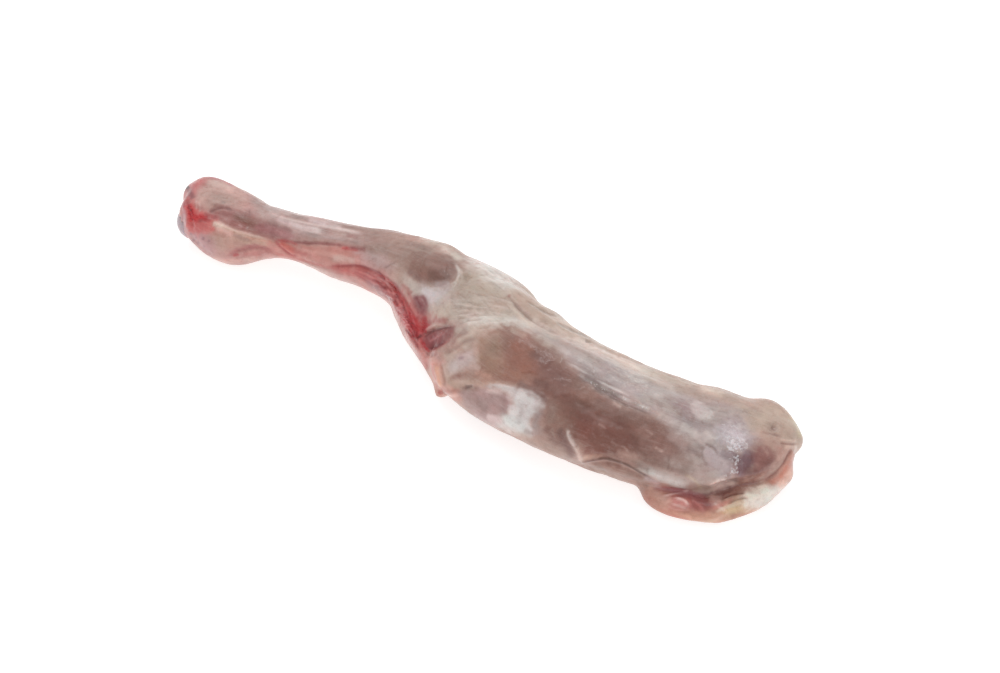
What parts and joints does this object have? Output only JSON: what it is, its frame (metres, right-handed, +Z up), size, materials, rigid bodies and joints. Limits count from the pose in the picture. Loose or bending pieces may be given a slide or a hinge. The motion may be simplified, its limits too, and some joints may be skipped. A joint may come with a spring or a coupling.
{
  "type": "kid goat shoulder",
  "caption": "Raw kid goat shoulder, the whole foreleg cut lying on its inner side: knuckle, shank, elbow and blade, with fascia, fat, a loose flap and the smooth bone end at the knuckle.",
  "frame": {"origin": "middle of the box at the bottom, on the flat spots that the cut lies on", "axes": "+X from the knuckle to the blade end, +Z up, -Y to the side of the elbow"},
  "size_m": [0.3658, 0.0926, 0.0481],
  "materials": {
    "meat": "moist raw meat under thin whitish fascia, patchy satin",
    "cartilage": "smooth glossy grey-lilac joint cartilage"
  },
  "bodies": {
    "root": {"shoulder": "meat", "leg_bone_end": "cartilage"}
  },
  "joints": []
}
